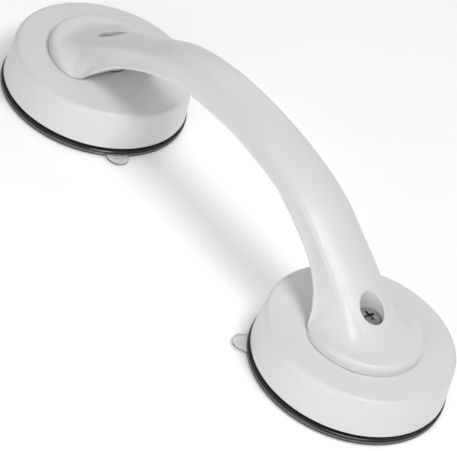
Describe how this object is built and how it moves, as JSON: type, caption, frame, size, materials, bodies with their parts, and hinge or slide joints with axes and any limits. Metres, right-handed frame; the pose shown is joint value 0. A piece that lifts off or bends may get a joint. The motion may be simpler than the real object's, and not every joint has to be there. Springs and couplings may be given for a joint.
{
  "type": "suction grab bar",
  "caption": "Arched white plastic grab bar with round feet, each screwed to a covered clear suction cup with a lift tab.",
  "frame": {"origin": "midway between the two cup axes, on the plane that both cups stick to", "axes": "+X along the bar from the left head to the right head, +Z away from the wall, -Y towards the viewer of the front"},
  "size_m": [0.3, 0.095, 0.0746],
  "materials": {
    "white_plastic": "satin injection-moulded ABS",
    "clear_rubber": "clear soft PVC, slightly smoky",
    "natural_plastic": "unpigmented acetal",
    "steel": "zinc-plated steel"
  },
  "bodies": {
    "handle": {"handle_upper_shell": "white_plastic", "handle_lower_shell": "white_plastic", "handle_closing_screws": "steel"},
    "left_head": {"left_cover": "white_plastic", "left_main_screw": "steel", "left_spring_washer": "steel", "left_flat_washer": "steel", "left_slip_washer": "natural_plastic", "left_cup_hub": "natural_plastic", "left_hex_nut": "steel", "left_suction_cup": "clear_rubber"},
    "left_lip": {"left_cup_lip": "clear_rubber"},
    "left_tab": {"left_release_tab": "clear_rubber"},
    "right_head": {"right_cover": "white_plastic", "right_main_screw": "steel", "right_spring_washer": "steel", "right_flat_washer": "steel", "right_slip_washer": "natural_plastic", "right_cup_hub": "natural_plastic", "right_hex_nut": "steel", "right_suction_cup": "clear_rubber"},
    "right_lip": {"right_cup_lip": "clear_rubber"},
    "right_tab": {"right_release_tab": "clear_rubber"}
  },
  "joints": [
    {"name": "left_head_swivel", "type": "hinge", "parent": "handle", "child": "left_head", "pos_m": [-0.1025, 0, 0.024], "axis": [0, 0, 1], "continuous": true},
    {"name": "left_cup_press", "type": "slide", "parent": "left_head", "child": "left_lip", "axis": [0, 0, 1], "range_m": [0, 0.0013], "stiffness_N_per_m": 20000, "deforming": ["left_suction_cup"]},
    {"name": "left_tab_lift", "type": "hinge", "parent": "left_lip", "child": "left_tab", "pos_m": [-0.05761, -0.01768, 0.0012], "axis": [-0.3665, -0.9304, 0], "range_deg": [0, 70], "stiffness_Nm_per_rad": 0.01},
    {"name": "right_head_swivel", "type": "hinge", "parent": "handle", "child": "right_head", "pos_m": [0.1025, 0, 0.024], "axis": [0, 0, 1], "continuous": true},
    {"name": "right_cup_press", "type": "slide", "parent": "right_head", "child": "right_lip", "axis": [0, 0, 1], "range_m": [0, 0.0013], "stiffness_N_per_m": 20000, "deforming": ["right_suction_cup"]},
    {"name": "right_tab_lift", "type": "hinge", "parent": "right_lip", "child": "right_tab", "pos_m": [0.07161, -0.03707, 0.0012], "axis": [-0.7683, 0.6401, 0], "range_deg": [0, 70], "stiffness_Nm_per_rad": 0.01}
  ]
}
